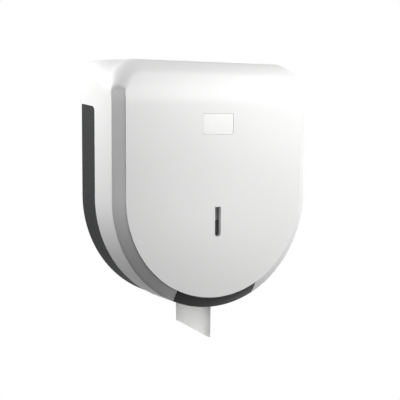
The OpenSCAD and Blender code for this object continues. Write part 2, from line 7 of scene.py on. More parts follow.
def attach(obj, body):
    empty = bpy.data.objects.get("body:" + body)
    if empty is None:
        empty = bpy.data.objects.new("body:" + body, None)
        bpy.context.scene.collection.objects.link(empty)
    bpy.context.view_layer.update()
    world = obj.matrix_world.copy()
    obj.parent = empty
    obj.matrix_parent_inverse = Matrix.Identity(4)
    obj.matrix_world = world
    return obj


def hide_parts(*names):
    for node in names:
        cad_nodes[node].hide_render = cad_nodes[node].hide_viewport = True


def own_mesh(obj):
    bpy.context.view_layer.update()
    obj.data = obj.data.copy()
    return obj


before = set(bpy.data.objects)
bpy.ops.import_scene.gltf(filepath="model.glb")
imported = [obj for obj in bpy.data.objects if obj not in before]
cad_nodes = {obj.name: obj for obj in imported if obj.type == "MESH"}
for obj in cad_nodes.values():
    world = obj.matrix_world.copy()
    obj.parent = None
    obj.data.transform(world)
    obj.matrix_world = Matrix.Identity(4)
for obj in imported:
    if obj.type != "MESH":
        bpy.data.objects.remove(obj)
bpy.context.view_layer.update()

MM = 0.001  # sizes below are in millimetres unless they say otherwise, and Blender's are in metres
scene = bpy.context.scene

# --- Studio ---------------------------------------------------------------
# A pale floor well below the wall-hung dispenser, a broad lamp at the front right, another behind
# its left side and small ones for the paper and the window. The camera stands low on the left, at
# the photograph's angle.
scene.view_settings.view_transform = "Standard"

view_turn, view_pitch, view_roll = math.radians(31.17), math.radians(5.19), math.radians(0.24)
photo_px, focal_px = 400, 904.2
sensor_w = 36
view_right, view_up, view_distance = -33.1 * MM, 14.2 * MM, 1390.0 * MM

camera = bpy.data.objects.new("camera", bpy.data.cameras.new("camera"))
scene.collection.objects.link(camera)
camera.data.sensor_width = sensor_w
camera.data.lens = focal_px * sensor_w / photo_px
back = Vector((-math.sin(view_turn) * math.cos(view_pitch), -math.cos(view_turn) * math.cos(view_pitch),
    math.sin(view_pitch)))
level = Vector((math.cos(view_turn), -math.sin(view_turn), 0))
upright = back.cross(level)
right = math.cos(view_roll) * level + math.sin(view_roll) * upright
up = math.cos(view_roll) * upright - math.sin(view_roll) * level
place = back * view_distance - right * view_right - up * view_up
camera.matrix_world = Matrix([(right[i], up[i], back[i], place[i]) for i in range(3)] + [(0, 0, 0, 1)])
scene.camera = camera


# Lamps are placed and aimed in metres.
def lamp(name, kind, place, aim, watts):
    made = bpy.data.objects.new(name, bpy.data.lights.new(name, kind))
    scene.collection.objects.link(made)
    made.location = place
    made.rotation_mode = "QUATERNION"
    made.rotation_quaternion = (Vector(aim) - Vector(place)).to_track_quat("-Z", "Y")
    made.data.energy = watts
    return made


def broad_lamp(name, place, aim, watts, width):
    made = lamp(name, "AREA", place, aim, watts)
    made.data.shape = "DISK"
    made.data.size = width


def narrow_lamp(name, place, aim, watts, spread, blend, softness):
    made = lamp(name, "SPOT", place, aim, watts)
    made.data.spot_size = math.radians(spread)
    made.data.spot_blend = blend
    made.data.shadow_soft_size = softness


broad_lamp("front_lamp", (0.57, -0.94, 0.42), (0, -0.1, 0), watts=13.4, width=0.8)
broad_lamp("side_lamp", (-0.565, 0.11, 0.345), (-0.1, -0.05, 0.02), watts=3.7, width=0.5)
narrow_lamp("paper_lamp", (-0.62, -0.30, -0.33), (-0.004, -0.054, -0.19), watts=15, spread=9.4, blend=0.35,
    softness=0.03)
narrow_lamp("window_lamp", (-0.803, -0.489, 0.12), (0.004, -0.114, -0.036), watts=6, spread=9, blend=1.0,
    softness=0.05)


# Adds a shader node, with its links and with values for its inputs or its settings.
def put(tree, kind, links=(), **values):
    node = tree.nodes.new("ShaderNode" + kind)
    for key, value in values.items():
        if key.title() in node.inputs:
            node.inputs[key.title()].default_value = value
        else:
            setattr(node, key, value)
    for socket, source in links:
        tree.links.new(source, node.inputs[socket])
    return node


# A maths node whose second and third inputs may be plain numbers.
def maths(tree, operation, first, *others):
    node = put(tree, "Math", [(0, first)], operation=operation)
    for i, other in enumerate(others, 1):
        if isinstance(other, bpy.types.NodeSocket):
            tree.links.new(other, node.inputs[i])
        else:
            node.inputs[i].default_value = other
    return node.outputs[0]


# One for what the camera, gloss and glass see, and zero for the light that falls on things.
def seen_rays(tree):
    rays = tree.nodes.new("ShaderNodeLightPath").outputs
    seen = maths(tree, "MAXIMUM", rays["Is Camera Ray"], rays["Is Glossy Ray"])
    return maths(tree, "MAXIMUM", seen, rays["Is Transmission Ray"])


# The world gives a little soft light. The camera, gloss and glass see it white.
soft_light = 0.01
world = bpy.data.worlds.new("studio")
scene.world = world
world.use_nodes = True
tree = world.node_tree
tree.nodes.clear()
soft = put(tree, "Background", strength=soft_light)
white = put(tree, "Background", color=(1, 1, 1, 1))
choose = put(tree, "MixShader", [(0, seen_rays(tree)), (1, soft.outputs[0]), (2, white.outputs[0])])
put(tree, "OutputWorld", [(0, choose.outputs[0])])


# A material with a Principled shader, and its Object coordinates.
def new_material(name, metallic=0.0, rough=0.5, **sockets):
    made = bpy.data.materials.new(name)
    made.use_nodes = True
    shader = made.node_tree.nodes["Principled BSDF"]
    shader.inputs["Metallic"].default_value = metallic
    shader.inputs["Roughness"].default_value = rough
    for key, value in sockets.items():
        shader.inputs[key.replace("_", " ").title().replace("Ior", "IOR")].default_value = value
    coords = made.node_tree.nodes.new("ShaderNodeTexCoord").outputs["Object"]
    return made, made.node_tree, shader, coords


def new_group(name, inputs, outputs):
    group = bpy.data.node_groups.new(name, "ShaderNodeTree")
    for label, kind, value in inputs:
        socket = group.interface.new_socket(label, in_out="INPUT", socket_type="NodeSocket" + kind)
        if value is not None:
            socket.default_value = value
    for label, kind in outputs:
        group.interface.new_socket(label, in_out="OUTPUT", socket_type="NodeSocket" + kind)
    return group, group.nodes.new("NodeGroupInput").outputs, group.nodes.new("NodeGroupOutput").inputs


def use_group(tree, group, **links):
    node = tree.nodes.new("ShaderNodeGroup")
    node.node_tree = group
    for key, value in links.items():
        socket = node.inputs[key.replace("_", " ").title()]
        if isinstance(value, bpy.types.NodeSocket):
            tree.links.new(value, socket)
        else:
            socket.default_value = value
    return node.outputs


# Slow change of tone over a surface: Colour times one plus or minus Drift.
tone, given, result = new_group("tone_drift",
    [("Place", "Vector", None), ("Colour", "Color", (0.5, 0.5, 0.5, 1)), ("Size", "Float", 20.0),
     ("Drift", "Float", 0.03)], [("Colour", "Color")])
cloud = put(tone, "TexNoise", [("Vector", given["Place"]), ("Scale", given["Size"])], detail=4.0)
swing = maths(tone, "MULTIPLY", maths(tone, "SUBTRACT", cloud.outputs[0], 0.5), given["Drift"])
share = maths(tone, "MULTIPLY_ADD", swing, 4.0, 1.0)
scaled = put(tone, "VectorMath", [(0, given["Colour"]), ("Scale", share)], operation="SCALE")
tone.links.new(scaled.outputs[0], result["Colour"])

# Grain of a moulded or cast surface: fine pits over a slow ripple, as a height.
grain, given, result = new_group("surface_grain",
    [("Place", "Vector", None), ("Pit Size", "Float", 1500.0), ("Ripple Size", "Float", 120.0),
     ("Ripple", "Float", 0.5)], [("Height", "Float")])
pits = put(grain, "TexNoise", [("Vector", given["Place"]), ("Scale", given["Pit Size"])], detail=2.0)
waves = put(grain, "TexNoise", [("Vector", given["Place"]), ("Scale", given["Ripple Size"])], detail=1.0)
height = maths(grain, "MULTIPLY_ADD", waves.outputs[0], given["Ripple"], pits.outputs[0])
grain.links.new(height, result["Height"])

# Handling marks: rubbed patches and hairlines, as a roughness.
marks, given, result = new_group("handling_marks",
    [("Place", "Vector", None), ("Rough", "Float", 0.4), ("Spread", "Float", 0.08), ("Size", "Float", 30.0)],
    [("Rough", "Float")])
spot = [("Vector", given["Place"]), ("Scale", given["Size"])]
rubbed = put(marks, "TexNoise", spot, detail=6.0, roughness=0.65)
hairs = put(marks, "TexWave", spot, distortion=12.0, detail=3.0)
hairlines = maths(marks, "POWER", hairs.outputs["Fac"], 24.0)
both = maths(marks, "MULTIPLY_ADD", hairlines, 0.5, rubbed.outputs[0])
off_mid = maths(marks, "SUBTRACT", both, 0.55)
marks.links.new(maths(marks, "MULTIPLY_ADD", off_mid, given["Spread"], given["Rough"]), result["Rough"])


def bump(tree, shader, height, strength, distance):
    node = put(tree, "Bump", [("Height", height)], strength=strength, distance=distance)
    tree.links.new(node.outputs[0], shader.inputs["Normal"])


# A moulded or cast surface: drifting tone, marks in its gloss and a fine grain.
def surface_material(name, colour, rough, metallic=0.0, drift=0.02, drift_size=14.0, spread=0.06,
        mark_size=40.0, pit_size=1500.0, ripple_size=90.0, ripple=0.5, grain_strength=0.1, grain_depth=0.0001,
        **sockets):
    made, tree, shader, coords = new_material(name, metallic, rough, **sockets)
    toned = use_group(tree, tone, place=coords, colour=(*colour, 1), size=drift_size, drift=drift)
    tree.links.new(toned["Colour"], shader.inputs["Base Color"])
    marked = use_group(tree, marks, place=coords, rough=rough, spread=spread, size=mark_size)
    tree.links.new(marked["Rough"], shader.inputs["Roughness"])
    grained = use_group(tree, grain, place=coords, pit_size=pit_size, ripple_size=ripple_size, ripple=ripple)
    bump(tree, shader, grained["Height"], grain_strength, grain_depth)
    return made


bpy.ops.object.select_all(action="DESELECT")
bpy.ops.mesh.primitive_plane_add(size=5, location=(0.1, -0.1, -2.2))
floor = bpy.context.object
floor.name = "floor"
floor_paint = surface_material("floor_paint", (0.8, 0.8, 0.8), 0.8, drift=0.01, drift_size=3.0)
floor.data.materials.append(floor_paint)

# The camera, gloss and glass see the dim floor mostly as the white that it is in full light.
white_share = 0.96
tree = floor_paint.node_tree
white = put(tree, "Emission")
choose = put(tree, "MixShader", [(0, maths(tree, "MULTIPLY", seen_rays(tree), white_share)),
    (1, tree.nodes["Principled BSDF"].outputs[0]), (2, white.outputs[0])])
tree.links.new(choose.outputs[0], tree.nodes["Material Output"].inputs["Surface"])

# --- Rear housing ---------------------------------------------------------
# One dark grey ABS moulding, screwed to the wall: plate, rim, inner frame, ribs, screw rings and
# the two arms that hold the hinge. Its mould was spark-eroded, which leaves a fine matt grain.
def dress(node, material):
    cad_nodes[node].data.materials.clear()
    cad_nodes[node].data.materials.append(material)


housing_plastic = surface_material("dark_grained_abs", (0.026, 0.0265, 0.028), 0.65, drift=0.05, spread=0.1,
    pit_size=1900.0, ripple=0.3, grain_strength=0.35, grain_depth=0.00012, specular_ior_level=0.18)
dress("back_plate", housing_plastic)

# --- Hinge ----------------------------------------------------------------
# Two zinc-plated steel pins, pressed into the arms of the housing. The cover's ears turn on them,
# and a clip pushed on each pin outside the ear keeps it there.
screw_steel = surface_material("zinc_plated_steel", (0.6, 0.6, 0.61), 0.32, metallic=1.0, drift=0.06,
    drift_size=180.0, spread=0.25, mark_size=260.0, pit_size=2600.0, ripple=0.8, grain_strength=0.12,
    grain_depth=0.00008)
dress("hinge_pins", screw_steel)
dress("hinge_clips", screw_steel)

# --- Spindle --------------------------------------------------------------
# A grey nylon flange and shaft, held by three screws from the wall side. A felt washer brakes the
# roll, and a cap with one screw keeps the hub on.
nylon = surface_material("grey_nylon", (0.32, 0.33, 0.34), 0.48, drift=0.04, drift_size=30.0, spread=0.1,
    pit_size=1300.0, ripple=0.6, grain_strength=0.18, grain_depth=0.0001)
felt = surface_material("pressed_felt", (0.13, 0.13, 0.12), 0.95, drift=0.25, drift_size=700.0, spread=0.05,
    pit_size=2200.0, ripple_size=600.0, ripple=1.0, grain_strength=0.9, grain_depth=0.0003, sheen_weight=0.4)
dress("spindle", nylon)
dress("retaining_cap", nylon)
dress("felt_washer", felt)
dress("spindle_screws", screw_steel)
dress("cap_screw", screw_steel)

# --- Strike ---------------------------------------------------------------
# A strip of zinc-plated sheet steel, folded so that the lock's cam turns in behind it, and held to
# the housing by two screws.
sheet_steel = surface_material("zinc_plated_sheet", (0.62, 0.62, 0.63), 0.36, metallic=1.0, drift=0.08,
    drift_size=90.0, spread=0.3, mark_size=120.0, pit_size=900.0, ripple_size=260.0, ripple=1.0,
    grain_strength=0.1, grain_depth=0.0001)
dress("strike", sheet_steel)
dress("strike_screws", screw_steel)

# --- Roll -----------------------------------------------------------------
# A nylon hub fills the cardboard core, and the wound tissue sits on it. The core is wound board with
# a seam that climbs round it, and the paper shows its layers at both ends.
dress("roll_hub", nylon)

axis_z = 30
core_out, roll_r, paper_back, paper_w = 31.02, 66, 8.5, 90
paper_front = paper_back + paper_w
paper_edge = 0.8
board_w = 62

wound_board, tree, shader, coords = new_material("wound_board", rough=0.85)
centred = put(tree, "Mapping", [("Vector", coords)], location=(0, 0, -axis_z * MM))
apart = put(tree, "SeparateXYZ", [(0, centred.outputs[0])]).outputs
turns = maths(tree, "DIVIDE", maths(tree, "ARCTAN2", apart["X"], apart["Z"]), 2 * math.pi)
pitches = maths(tree, "MULTIPLY_ADD", apart["Y"], 1 / (board_w * MM), turns)
seam = maths(tree, "LESS_THAN", maths(tree, "FRACT", pitches), 0.02)
fibre = put(tree, "TexNoise", [("Vector", coords)], scale=420.0, detail=6.0)
toned = use_group(tree, tone, place=coords, colour=(0.42, 0.30, 0.19, 1), size=260.0, drift=0.16)
darker = put(tree, "Mix", [(0, seam), (6, toned["Colour"])], data_type="RGBA")
darker.inputs[7].default_value = (0.22, 0.15, 0.09, 1)
tree.links.new(darker.outputs[2], shader.inputs["Base Color"])
bump(tree, shader, maths(tree, "MULTIPLY_ADD", seam, -1.5, fibre.outputs[0]), 0.4, 0.0001)
dress("roll_core", wound_board)


def start(name):
    made = bpy.context.object
    made.name = name
    made.data.name = name
    return made


# Applies the object's place, turn and scale, so that the piece sits at the origin.
def settle(piece):
    bpy.ops.object.select_all(action="DESELECT")
    piece.select_set(True)
    bpy.context.view_layer.objects.active = piece
    bpy.ops.object.transform_apply(location=True, rotation=True, scale=True)
    return piece


# A closed profile of radius and depth, turned on an axis that runs out from the wall at a height.
def turned(name, profile, height, steps, start_angle=0.0, sweep=360.0):
    bpy.ops.object.select_all(action="DESELECT")
    bpy.ops.mesh.primitive_plane_add(size=MM)
    made = start(name)
    bpy.ops.object.mode_set(mode="EDIT")
    bpy.ops.mesh.merge(type="CENTER")
    cos, sin = math.cos(math.radians(start_angle)), math.sin(math.radians(start_angle))
    spots = [Vector((r * cos, -d, height + r * sin)) * MM for r, d in profile]
    mesh = bmesh.from_edit_mesh(made.data)
    mesh.verts.ensure_lookup_table()
    mesh.verts[0].co = spots[0]
    bmesh.update_edit_mesh(made.data)
    for here, there in zip(spots, spots[1:]):
        bpy.ops.mesh.extrude_region_move(TRANSFORM_OT_translate={"value": there - here})
    bpy.ops.mesh.select_all(action="SELECT")
    mesh = bmesh.from_edit_mesh(made.data)
    mesh.edges.new([v for v in mesh.verts if len(v.link_edges) == 1])
    bmesh.update_edit_mesh(made.data)
    bpy.ops.mesh.select_all(action="SELECT")
    bpy.ops.mesh.spin(steps=steps, angle=math.radians(sweep), center=(0, 0, height * MM), axis=(0, 1, 0))
    bpy.ops.mesh.select_all(action="SELECT")
    bpy.ops.mesh.remove_doubles(threshold=0.01 * MM)
    bpy.ops.mesh.normals_make_consistent(inside=False)
    bpy.ops.object.mode_set(mode="OBJECT")
    return settle(made)


# A rectangle of radius and depth, with each corner eased by a quarter circle.
def eased_rectangle(r0, d0, r1, d1, ease, steps=3):
    points = []
    for r, d, turn in ((r0, d0, 180), (r1, d0, 270), (r1, d1, 0), (r0, d1, 90)):
        centre_r = r + ease if r == r0 else r - ease
        centre_d = d + ease if d == d0 else d - ease
        for i in range(steps + 1):
            a = math.radians(turn + 90 * i / steps)
            points.append((centre_r + ease * math.cos(a), centre_d + ease * math.sin(a)))
    return points


paper_roll = turned("wound_paper", eased_rectangle(core_out, paper_back, roll_r, paper_front, paper_edge),
    axis_z, steps=128)
bpy.ops.object.shade_smooth_by_angle(angle=math.radians(40))

tissue, tree, shader, coords = new_material("tissue", rough=0.92, sheen_weight=0.15)
centred = put(tree, "Mapping", [("Vector", coords)], location=(0, 0, -axis_z * MM))
layers = put(tree, "TexWave", [("Vector", centred.outputs[0])], wave_type="RINGS", rings_direction="Y",
    scale=900.0, distortion=1.5, detail=1.0)
layers.inputs["Detail Scale"].default_value = 0.05
fibre = put(tree, "TexNoise", [("Vector", coords)], scale=900.0, detail=5.0)
emboss = put(tree, "TexVoronoi", [("Vector", coords)], scale=330.0)
toned = use_group(tree, tone, place=coords, colour=(0.86, 0.855, 0.84, 1), size=120.0, drift=0.02)
shadow = put(tree, "MapRange", [("Value", layers.outputs["Fac"])])
shadow.inputs["To Min"].default_value = 0.86
tinted = put(tree, "VectorMath", [(0, toned["Colour"]), ("Scale", shadow.outputs[0])], operation="SCALE")
tree.links.new(tinted.outputs[0], shader.inputs["Base Color"])
relief = maths(tree, "MULTIPLY_ADD", emboss.outputs["Distance"], 1.2, fibre.outputs[0])
bump(tree, shader, maths(tree, "MULTIPLY_ADD", layers.outputs["Fac"], 0.8, relief), 0.35, 0.0002)
paper_roll.data.materials.append(tissue)
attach(paper_roll, "roll")
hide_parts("paper_roll")

# --- Paper tail -----------------------------------------------------------
# The loose end of the tissue leaves the roll on one soft arc and hangs straight down through the
# mouth. Its lower edge was torn on the teeth, and its front edge curls a little.
tail_x, tail_low, tail_drop, leave_deg = -4, -199, 9, 225
tail_t, tail_gap = 0.25, 0.65
twist_front, twist_back, lean_out = 8, 5, 3  # how far the web's two sides turn and lean, sideways
ripple, curl, curl_w = 0.5, 1.6, 7
leave_r = roll_r + tail_gap
leave_x = leave_r * math.cos(math.radians(leave_deg))
leave_z = axis_z + leave_r * math.sin(math.radians(leave_deg))
heading = math.radians(leave_deg - 180)
swing_r = (tail_x - leave_x) / (1 - math.cos(heading))
swing_x, swing_z = tail_x - swing_r, leave_z - swing_r * math.sin(heading)
arc_steps, hang_steps, web_steps = 24, 30, 30

bpy.ops.object.select_all(action="DESELECT")
bpy.ops.mesh.primitive_grid_add(x_subdivisions=web_steps, y_subdivisions=arc_steps + hang_steps, size=2)
tail = start("hanging_tissue")
for v in tail.data.vertices:
    along, across = (1 - v.co.y) / 2 * (arc_steps + hang_steps), (v.co.x + 1) / 2
    depth = paper_back + across * paper_w
    low = tail_low - tail_drop * across
    if along <= arc_steps:
        a = heading * (1 - along / arc_steps)
        x, z = swing_x + swing_r * math.cos(a), swing_z + swing_r * math.sin(a)
    else:
        x, z = tail_x, swing_z + (low - swing_z) * (along - arc_steps) / hang_steps
    fall = max(0.0, (along - arc_steps) / hang_steps)
    edge = max(0.0, (depth - (paper_front - curl_w)) / curl_w)
    x += min(1.0, 2 * fall) * (twist_front * across - twist_back) - fall * across * lean_out
    x += fall * (ripple * math.sin(across * 5.1 + 0.6) + curl * edge * edge)
    if abs(z - low) < 0.01:
        z += 0.35 if round(across * web_steps) % 2 else -0.1
    v.co = Vector((x, -depth, z)) * MM
tail.data.update()
thick = tail.modifiers.new("thickness", "SOLIDIFY")
thick.thickness = tail_t * MM
thick.offset = 0
bpy.ops.object.modifier_apply(modifier="thickness")
bpy.ops.object.shade_smooth_by_angle(angle=math.radians(50))

thin_tissue = tissue.copy()
thin_tissue.name = "thin_tissue"
shader = thin_tissue.node_tree.nodes["Principled BSDF"]
shader.inputs["Subsurface Weight"].default_value = 0.5
shader.inputs["Subsurface Radius"].default_value = (1, 1, 1)
shader.inputs["Subsurface Scale"].default_value = 0.002
tail.data.materials.append(thin_tissue)
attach(tail, "housing")
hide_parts("paper_tail")
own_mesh(tail)

# --- Cover ----------------------------------------------------------------
# One white ABS moulding, 3 mm thick. Its bevelled band runs round the face and dies out in the soft
# corners of the brow, and behind the face it has the slot's collar, screw bosses, lock seat and ears.
half_w, rise, cover_d, wall, wall_gap = 162, 192, 114, 3, 0.5
band_w, band_d, ease = 16.5, 12, 1.3
brow_z, lean, bend_r, brow_d = 145, math.radians(17), 100, 84.8
corner_front, corner_back = 47, 18
soft_reach, soft_d = 20, 98              # width and side depth of the edge that rolls over at the brow
fade_low, fade_high = 147, 159           # heights between which it takes the place of the band
sink_low, sink_high = 140, 182           # heights between which it sinks back to the brow's depth
inner_face = cover_d - wall


def smooth(value, low, high):
    t = min(1.0, max(0.0, (value - low) / (high - low)))
    return t * t * (3 - 2 * t)


# Depth of the front surface at a height: upright, then a bend, then the leaning brow.
def face_depth(z):
    begin = brow_z - bend_r * math.tan(lean / 2)
    end = begin + bend_r * math.sin(lean)
    if z <= begin:
        return cover_d
    if z < end:
        return cover_d - bend_r + math.sqrt(bend_r ** 2 - (z - begin) ** 2)
    return cover_d - (z - brow_z) * math.tan(lean)


# Stations round the outline, anticlockwise from the bottom: bottom arc, side, corner, half the top.
# They are closer where the outline turns or the face starts to bend.
side_top = rise - corner_front
half_stations = [("arc", -90 + 2.25 * i) for i in range(40)]
half_stations += [("side", z / side_top) for z in (0, 20, 40, 60, 80, 98, 108, 116, 124, 129, 133, 137, 141)]
flat_last, head_first = len(half_stations) - 4, len(half_stations) + 24
half_stations += [("corner", 2.5 * i) for i in range(36)] + [("top", 1 - i / 5) for i in range(6)]
stations = [(kind, value, 1) for kind, value in half_stations]
stations += [(kind, value, -1) for kind, value in reversed(half_stations[1:-1])]


def outline_point(station, inset, corner):
    kind, value, side = station
    if kind == "arc":
        a = math.radians(value)
        x, z = (half_w - inset) * math.cos(a), (half_w - inset) * math.sin(a)
    elif kind == "side":
        x, z = half_w - inset, value * (rise - corner)
    elif kind == "corner":
        a = math.radians(value)
        x = half_w - corner + (corner - inset) * math.cos(a)
        z = rise - corner + (corner - inset) * math.sin(a)
    else:
        x, z = value * (half_w - corner), rise - inset
    return x * side, z


# Inset and drop from the side wall to the face: a round, the slant of the band, and the fine lip in
# which the face ends.
def band_profile():
    slope = math.atan2(band_w, band_d)
    side_trim, face_trim = ease * math.tan(slope / 2), ease * math.tan((math.pi / 2 - slope) / 2)
    points = []
    for i in range(5):
        a = slope * i / 4
        points.append((ease * (1 - math.cos(a)), band_d + side_trim - ease * math.sin(a)))
    low, high = points[-1], (band_w - face_trim * math.sin(slope), face_trim * math.cos(slope))
    points += [(low[0] + (high[0] - low[0]) * f, low[1] + (high[1] - low[1]) * f) for f in (0.25, 0.5, 0.75)]
    lip = high[0] - (band_w + face_trim - ease * math.sin(slope))
    for i in range(4):
        sine = math.sin(slope + (math.pi / 2 - slope) * i / 3)
        points.append((band_w + face_trim - ease * sine + lip * (1 - i / 3), ease * (1 - sine)))
    return points


face_inset = 44
outer_band = band_profile() + [(inset, 0) for inset in (17.9, 21, 26, 34, face_inset)]
outer_roll = [0, 5, 10, 16, 22, 35, 48, 60, 70, 78, 84, 90]

# the band's inner side, inset and drop, runs parallel to it, one wall behind
inner_band = [(wall, 13.53), (6.62, 10.9), (10.24, 8.26), (13.86, 5.63), (17.47, wall), (24, wall),
    (face_inset, wall)]
inner_roll = [0, 22.5, 45, 67.5, 90]


# Points from the side wall's front edge to the face, as (x, depth, z).
def front_profile(station, band, roll, thick):
    edge_z = outline_point(station, 0, corner_front)[1]
    softness = smooth(edge_z, fade_low, fade_high) if station[0] != "arc" else 0.0
    edge_d = soft_d + (brow_d - soft_d) * smooth(edge_z, sink_low, sink_high)
    soft_drop = face_depth(edge_z) - edge_d
    last = band[len(roll) - 1][0]
    points = []
    for k, (inset, drop) in enumerate(band):
        if k < len(roll):
            a = math.radians(roll[k])
            rolled_inset = thick + (soft_reach - thick) * (1 - math.cos(a))
            rolled_drop = thick + (soft_drop - thick) * (1 - math.sin(a))
        else:
            rolled_inset = soft_reach + (face_inset - soft_reach) * (inset - last) / (face_inset - last)
            rolled_drop = drop
        inset += (rolled_inset - inset) * softness
        drop += (rolled_drop - drop) * softness
        x, z = outline_point(station, inset, corner_front)
        points.append((x, face_depth(z) - drop, z))
    return points


# Rings of points from the wall to the innermost front loop.
def skin(band, roll, thick, fractions):
    columns = []
    for station in stations:
        front = front_profile(station, band, roll, thick)
        column = []
        for f in fractions:
            depth = wall_gap + (front[0][1] - wall_gap) * f
            corner = corner_back + (corner_front - corner_back) * smooth(depth, 30, brow_d)
            x, z = outline_point(station, thick, corner)
            column.append((x, depth, z))
        columns.append(column + front)
    return [[Vector((x, -d, z)) * MM for x, d, z in ring] for ring in zip(*columns)]


outer_rings = skin(outer_band, outer_roll, 0, (0, 0.15, 0.3, 0.4, 0.47, 0.55, 0.63, 0.72, 0.81, 0.9, 0.96))
inner_rings = skin(inner_band, inner_roll, wall, (0, 0.3, 0.47, 0.63, 0.81, 0.93))
count = len(stations)
shell = bmesh.new()


def add_rings(rings, outward):
    verts = [[shell.verts.new(p) for p in ring] for ring in rings]
    faces = []
    for lower, upper in zip(verts, verts[1:]):
        for i in range(count):
            j = (i + 1) % count
            faces.append([lower[i], lower[j], upper[j], upper[i]])
    # two flat faces inside the innermost ring, strips across the bend above them, and the head
    last = verts[-1]
    split = flat_last - 4
    faces.append([last[i] for i in range(-split, split + 1)])
    right_side, left_side = range(split, flat_last + 1), range(-flat_last, 1 - split)
    faces.append([last[i] for i in (*right_side, *left_side)])
    faces += [[last[i], last[i + 1], last[-i - 1], last[-i]] for i in range(flat_last, head_first)]
    faces.append([last[i] for i in range(head_first, count - head_first + 1)])
    for face in faces:
        shell.faces.new(face if outward else face[::-1])
    return verts


outer_verts = add_rings(outer_rings, True)
inner_verts = add_rings(inner_rings, False)
for i in range(count):
    j = (i + 1) % count
    shell.faces.new((outer_verts[0][j], outer_verts[0][i], inner_verts[0][i], inner_verts[0][j]))
bmesh.ops.recalc_face_normals(shell, faces=shell.faces[:])
cover_mesh = bpy.data.meshes.new("cover_shell")
shell.to_mesh(cover_mesh)
shell.free()
cover = bpy.data.objects.new("cover_shell", cover_mesh)
scene.collection.objects.link(cover)


def block(name, low, high):
    bpy.ops.object.select_all(action="DESELECT")
    centre = [(a + b) / 2 * MM for a, b in zip(low, high)]
    bpy.ops.mesh.primitive_cube_add(size=1, location=centre)
    bpy.context.object.scale = [(b - a) * MM for a, b in zip(low, high)]
    return settle(start(name))


# A round bar along an axis, between two places on it. Depths are given as they count, from the wall.
def rod(name, x, depth, z, radius, along, ends, sides=64):
    low, high = ends
    turn = {"x": (0, math.pi / 2, 0), "y": (math.pi / 2, 0, 0), "z": (0, 0, 0)}[along]
    middle = {"x": x, "y": -depth, "z": z}
    middle[along] = -(low + high) / 2 if along == "y" else (low + high) / 2
    bpy.ops.object.select_all(action="DESELECT")
    bpy.ops.mesh.primitive_cylinder_add(vertices=sides, radius=radius * MM, depth=(high - low) * MM,
        location=[middle[axis] * MM for axis in "xyz"], rotation=turn)
    return settle(start(name))


# Bevels the edges of a piece that run along an axis and whose two ends pass the test.
def ease_edges(piece, along, test, width, steps):
    bpy.context.view_layer.objects.active = piece
    bpy.ops.object.mode_set(mode="EDIT")
    bpy.ops.mesh.select_mode(type="EDGE")
    bpy.ops.mesh.select_all(action="DESELECT")
    mesh = bmesh.from_edit_mesh(piece.data)
    for edge in mesh.edges:
        run = (edge.verts[1].co - edge.verts[0].co).normalized()
        if abs(run["xyz".index(along)]) > 0.99 and all(test(*(v.co / MM)) for v in edge.verts):
            edge.select = True
    mesh.select_flush_mode()
    bmesh.update_edit_mesh(piece.data)
    bpy.ops.mesh.bevel(offset=width * MM, segments=steps, profile=0.5, affect="EDGES", clamp_overlap=False)
    bpy.ops.mesh.select_mode(type="VERT")
    bpy.ops.mesh.select_all(action="SELECT")
    bpy.ops.mesh.remove_doubles(threshold=0.005 * MM)
    bpy.ops.object.mode_set(mode="OBJECT")
    return piece


def combine(piece, tool, how):
    bpy.ops.object.select_all(action="DESELECT")
    piece.select_set(True)
    bpy.context.view_layer.objects.active = piece
    cut = piece.modifiers.new("cut", "BOOLEAN")
    cut.operation = how
    cut.solver = "EXACT"
    cut.object = tool
    bpy.ops.object.modifier_apply(modifier="cut")
    bpy.data.objects.remove(tool, do_unlink=True)
    return piece


# Closes the open ends of a piece turned through part of a circle.
def close_ends(piece):
    mesh = bmesh.new()
    mesh.from_mesh(piece.data)
    bmesh.ops.holes_fill(mesh, edges=[e for e in mesh.edges if e.is_boundary])
    bmesh.ops.recalc_face_normals(mesh, faces=mesh.faces[:])
    mesh.to_mesh(piece.data)
    mesh.free()
    return piece


# An upright block with a round bottom, between two depths.
def slot_block(name, width, top, low, near, far):
    made = block(name, (-width / 2, -far, low), (width / 2, -near, top))
    return ease_edges(made, "y", lambda x, y, z: z < low + 0.01, width / 2 - 0.001, 16)


slot_w, slot_top, slot_low, collar_wall, collar_back, lens_back = 10, -15, -58, 2.5, 107.6, 106.1
lens_screws = {"upper": slot_top + 9.5, "lower": slot_low - 9.5}
cutter_screw_x, cutter_screw_z = 36, -125.93
boss_r, boss_h, pilot_r = 4, 7, 1.65
lock_d, lock_body_r, lock_face_r, lock_seat = 40, 8.2, 11.2, 190
hinge_d, hinge_z, pin_bore_r, eye_r = 88, -138, 2.55, 6
ear_x, ear_out = 59.5, 65.5
sunk = 1                                 # how far what is joined to the face runs into it

combine(cover, slot_block("collar", slot_w + 2 * collar_wall, slot_top + collar_wall, slot_low - collar_wall,
    collar_back, inner_face + sunk), "UNION")
for side, z in lens_screws.items():
    combine(cover, rod(side + "_boss", 0, 0, z, boss_r, "y", (lens_back, inner_face + sunk)), "UNION")
for x in (-cutter_screw_x, cutter_screw_x):
    combine(cover, rod("cutter_boss", x, 0, cutter_screw_z, boss_r, "y",
        (inner_face - boss_h, inner_face + sunk)), "UNION")
combine(cover, rod("lock_seat", 0, lock_d, 0, 15, "z", (186, 191)), "UNION")
for side in (-1, 1):
    ends = sorted((side * ear_x, side * ear_out))
    ear = block("ear", (ends[0], -hinge_d - eye_r, hinge_z - 20), (ends[1], -hinge_d + eye_r, hinge_z))
    combine(ear, rod("eye", 0, hinge_d, hinge_z, eye_r, "x", ends), "UNION")
    combine(ear, rod("round", 0, 0, 0, half_w - 1.5, "y", (-5, 125), 180), "INTERSECT")
    combine(cover, ear, "UNION")

